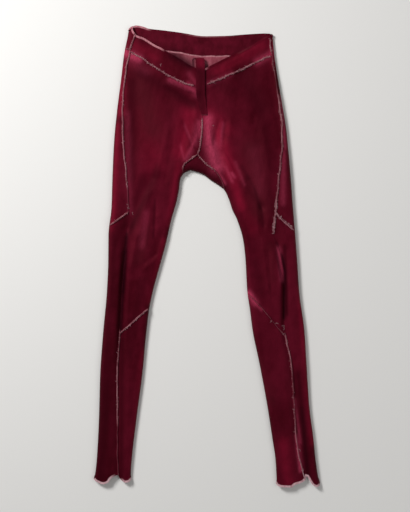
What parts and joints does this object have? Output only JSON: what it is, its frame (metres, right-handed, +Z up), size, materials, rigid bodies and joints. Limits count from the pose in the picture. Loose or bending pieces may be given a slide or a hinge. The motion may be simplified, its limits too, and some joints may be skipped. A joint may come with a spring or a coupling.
{
  "type": "leather leggings",
  "caption": "Slim leather leggings laid flat, front up: raw turned-up seams, slanting knee seams, V waistband, wavy raw hems.",
  "frame": {"origin": "centre of the plan of the garment, on the surface it lies on", "axes": "+Y from the hems to the waist, +Z up from the surface, +X to the wearer's left"},
  "size_m": [0.5282, 1.083, 0.0179],
  "materials": {
    "leather": "soft matt crimson hide, rubbed lighter on the folds",
    "waistband": "soft matt crimson hide with a raw edge",
    "strap": "matt dark crimson hide",
    "raw_edge": "raw cut edge of the hide, dusty pink",
    "thread": "pale pink sewing thread"
  },
  "bodies": {
    "root": {"waistband_back": "waistband", "waistband_front_right": "waistband", "waistband_front_left": "waistband", "front_panel_right": "leather", "front_panel_left": "leather", "back_panel_right": "leather", "back_panel_left": "leather", "lower_outer_right": "leather", "lower_outer_left": "leather", "lower_inner_right": "leather", "lower_inner_left": "leather", "crotch_gusset": "leather", "front_strap": "strap"}
  },
  "joints": []
}
